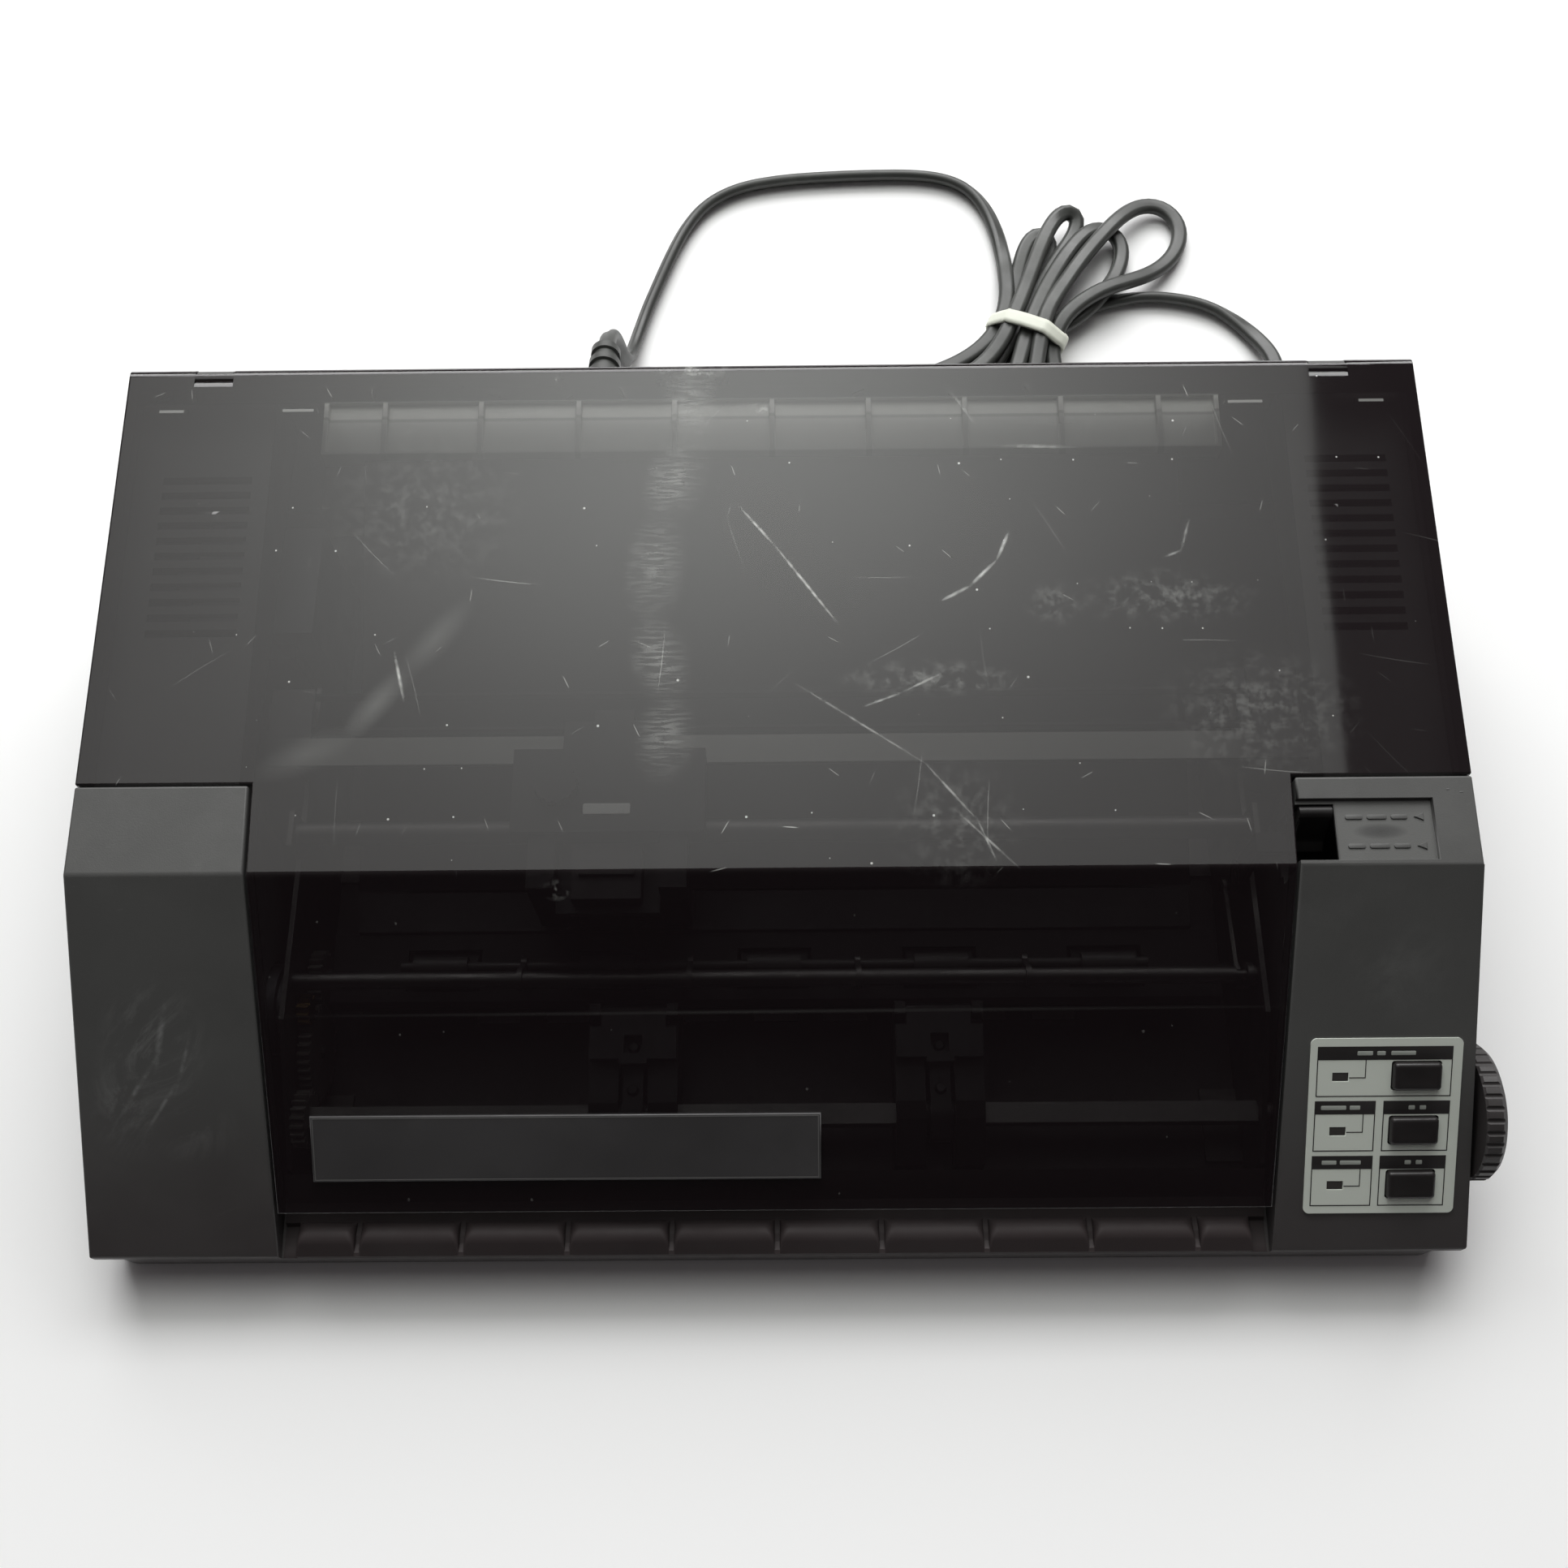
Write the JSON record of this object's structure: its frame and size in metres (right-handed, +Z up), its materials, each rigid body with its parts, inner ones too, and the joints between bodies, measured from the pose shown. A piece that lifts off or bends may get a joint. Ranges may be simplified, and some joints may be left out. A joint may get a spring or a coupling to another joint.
{
  "type": "dot matrix printer",
  "caption": "Low dot matrix printer with a smoked hinged cover, side knob, feed lever, three buttons and an attached mains lead lying coiled behind it",
  "frame": {"origin": "centre of the printer's own footprint (knob included, lead left out), on the surface it stands on", "axes": "+X to the printer's right seen from the front, along its longest extent; +Y to the rear; +Z up"},
  "size_m": [0.4101, 0.4203, 0.0947],
  "materials": {
    "case_plastic": "fine textured charcoal ABS, worn smooth in places",
    "guide_plastic": "satin grey moulding",
    "rubber_feet": "matte",
    "steel": "drawn bar and zinc plated sheet",
    "zinc_sheet": "plated sheet, slightly yellowed",
    "cord_pvc": "soft satin PVC",
    "smoked_plastic": "smoked transparent, finely scratched",
    "plate_film": "satin plate with a thin light edge, bare",
    "label_film": "printed film, satin",
    "black_plastic": "satin black",
    "circuit_board": "solder mask, satin",
    "dark_sheet": "matt dark coating",
    "rubber": "matte",
    "nylon": "natural nylon",
    "brass": "turned",
    "motor_can": "plated steel",
    "roller_plastic": "ground plastic",
    "head_alloy": "die cast",
    "tie_plastic": "off-white tie"
  },
  "bodies": {
    "base": {"lower_case": "case_plastic", "upper_case": "case_plastic", "front_sill": "case_plastic", "rear_guide": "guide_plastic", "feet": "rubber_feet", "case_screws": "steel", "strain_relief": "cord_pvc", "label_panel": "label_film", "control_board": "circuit_board", "switch_body": "black_plastic", "parallel_port": "zinc_sheet", "frame_left": "steel", "frame_right": "steel", "paper_table": "dark_sheet", "platen_bar": "black_plastic", "paper_chute": "dark_sheet", "feed_motor": "motor_can", "tractor_rod": "steel", "guide_rod": "steel", "carriage_rail": "zinc_sheet", "carriage_motor": "motor_can", "timing_belt": "rubber", "main_board": "circuit_board", "transformer": "motor_can", "cord_lead": "cord_pvc", "cord_hank": "cord_pvc", "cord_tie": "tie_plastic", "cord_tail": "cord_pvc", "plug": "black_plastic"},
    "lid": {"lid": "smoked_plastic", "hinge_pins": "steel", "nameplate": "plate_film"},
    "button_1": {"button_online": "black_plastic"},
    "button_2": {"button_form_feed": "black_plastic"},
    "button_3": {"button_line_feed": "black_plastic"},
    "rocker": {"power_rocker": "black_plastic"},
    "lever": {"mode_lever": "black_plastic"},
    "link": {"lift_link": "steel"},
    "lift": {"lift_shaft": "steel"},
    "pinch": {"pinch_rollers": "roller_plastic"},
    "feed": {"feed_shaft": "steel", "feed_gear": "nylon", "knob": "black_plastic"},
    "idler": {"idler_gear": "nylon"},
    "pinion": {"motor_pinion": "brass"},
    "friction": {"friction_shaft": "steel", "friction_rollers": "rubber", "friction_gear": "nylon"},
    "tractor_l": {"tractor_left": "black_plastic"},
    "tractor_r": {"tractor_right": "black_plastic"},
    "sprocket_l": {"sprocket_left": "black_plastic"},
    "sprocket_r": {"sprocket_right": "black_plastic"},
    "gate_l": {"gate_left": "black_plastic"},
    "gate_r": {"gate_right": "black_plastic"},
    "carriage": {"carriage": "black_plastic", "print_head": "head_alloy", "ribbon_cartridge": "black_plastic"},
    "ribbon_knob": {"ribbon_knob": "black_plastic"},
    "drive_pulley": {"drive_pulley": "nylon"},
    "idler_pulley": {"idler_pulley": "nylon"}
  },
  "joints": [
    {"name": "lid_hinge", "type": "hinge", "parent": "base", "child": "lid", "pos_m": [-0.004, 0.1261, 0.0913], "axis": [-1, 0, 0], "range_deg": [0, 100]},
    {"name": "button_1_press", "type": "slide", "parent": "base", "child": "button_1", "axis": [0, 0.5437, -0.8393], "range_m": [0, 0.001], "stiffness_N_per_m": 400, "springref_m": -0.0005},
    {"name": "button_2_press", "type": "slide", "parent": "base", "child": "button_2", "axis": [0, 0.5437, -0.8393], "range_m": [0, 0.001], "stiffness_N_per_m": 400, "springref_m": -0.0005},
    {"name": "button_3_press", "type": "slide", "parent": "base", "child": "button_3", "axis": [0, 0.5437, -0.8393], "range_m": [0, 0.001], "stiffness_N_per_m": 400, "springref_m": -0.0005},
    {"name": "power_rocker_tilt", "type": "hinge", "parent": "base", "child": "rocker", "pos_m": [-0.143, 0.123, 0.037], "axis": [1, 0, 0], "range_deg": [0, 16]},
    {"name": "mode_lever_tilt", "type": "hinge", "parent": "base", "child": "lever", "pos_m": [0.136, -0.0235, 0.046], "axis": [1, 0, 0], "range_deg": [0, 13]},
    {"name": "link_swing", "type": "hinge", "parent": "lever", "child": "link", "pos_m": [0.1335, -0.0235, 0.036], "axis": [1, 0, 0], "range_deg": [-14, 1]},
    {"name": "lift_turn", "type": "hinge", "parent": "base", "child": "lift", "pos_m": [-0.004, -0.0535, 0.044], "axis": [1, 0, 0], "range_deg": [0, 27]},
    {"name": "feed_spin", "type": "hinge", "parent": "base", "child": "feed", "pos_m": [-0.004, -0.0911, 0.028], "axis": [1, 0, 0], "continuous": true},
    {"name": "idler_spin", "type": "hinge", "parent": "base", "child": "idler", "pos_m": [-0.143, -0.06953, 0.02194], "axis": [1, 0, 0], "continuous": true},
    {"name": "friction_spin", "type": "hinge", "parent": "base", "child": "friction", "pos_m": [-0.004, -0.0475, 0.026], "axis": [1, 0, 0], "continuous": true},
    {"name": "pinion_spin", "type": "hinge", "parent": "base", "child": "pinion", "pos_m": [-0.143, -0.06033, 0.03788], "axis": [1, 0, 0], "continuous": true},
    {"name": "pinch_spin", "type": "hinge", "parent": "lift", "child": "pinch", "pos_m": [-0.004, -0.0475, 0.03745], "axis": [1, 0, 0], "continuous": true},
    {"name": "tractor_left_slide", "type": "slide", "parent": "base", "child": "tractor_l", "axis": [1, 0, 0], "range_m": [-0.08, 0.02]},
    {"name": "tractor_right_slide", "type": "slide", "parent": "base", "child": "tractor_r", "axis": [1, 0, 0], "range_m": [-0.02, 0.0725]},
    {"name": "sprocket_left_spin", "type": "hinge", "parent": "tractor_l", "child": "sprocket_l", "pos_m": [-0.0455, -0.0911, 0.028], "axis": [1, 0, 0], "continuous": true},
    {"name": "sprocket_right_spin", "type": "hinge", "parent": "tractor_r", "child": "sprocket_r", "pos_m": [0.0445, -0.0911, 0.028], "axis": [1, 0, 0], "continuous": true},
    {"name": "gate_left_hinge", "type": "hinge", "parent": "tractor_l", "child": "gate_l", "pos_m": [-0.0455, -0.062, 0.0393], "axis": [-1, 0, 0], "range_deg": [0, 95]},
    {"name": "gate_right_hinge", "type": "hinge", "parent": "tractor_r", "child": "gate_r", "pos_m": [0.0445, -0.062, 0.0393], "axis": [-1, 0, 0], "range_deg": [0, 95]},
    {"name": "carriage_slide", "type": "slide", "parent": "base", "child": "carriage", "axis": [1, 0, 0], "range_m": [-0.06, 0.15]},
    {"name": "ribbon_knob_spin", "type": "hinge", "parent": "carriage", "child": "ribbon_knob", "pos_m": [-0.0665, -0.0045, 0.076], "axis": [0, 0, 1], "continuous": true},
    {"name": "drive_pulley_spin", "type": "hinge", "parent": "base", "child": "drive_pulley", "pos_m": [0.1555, 0.0275, 0.057], "axis": [0, 0, 1], "continuous": true},
    {"name": "idler_pulley_spin", "type": "hinge", "parent": "base", "child": "idler_pulley", "pos_m": [-0.151, 0.0275, 0.057], "axis": [0, 0, 1], "continuous": true}
  ],
  "couplings": [
    {"joint": "link_swing", "follows": "mode_lever_tilt", "ratio": -1.04},
    {"joint": "lift_turn", "follows": "mode_lever_tilt", "ratio": 2.05},
    {"joint": "idler_spin", "follows": "feed_spin", "ratio": -0.55556},
    {"joint": "friction_spin", "follows": "feed_spin", "ratio": 1},
    {"joint": "pinion_spin", "follows": "feed_spin", "ratio": 2},
    {"joint": "pinch_spin", "follows": "feed_spin", "ratio": -2.7},
    {"joint": "sprocket_left_spin", "follows": "feed_spin", "ratio": 1},
    {"joint": "sprocket_right_spin", "follows": "feed_spin", "ratio": 1},
    {"joint": "drive_pulley_spin", "follows": "carriage_slide", "rad_per_m": 172.4},
    {"joint": "idler_pulley_spin", "follows": "carriage_slide", "rad_per_m": 172.4}
  ]
}
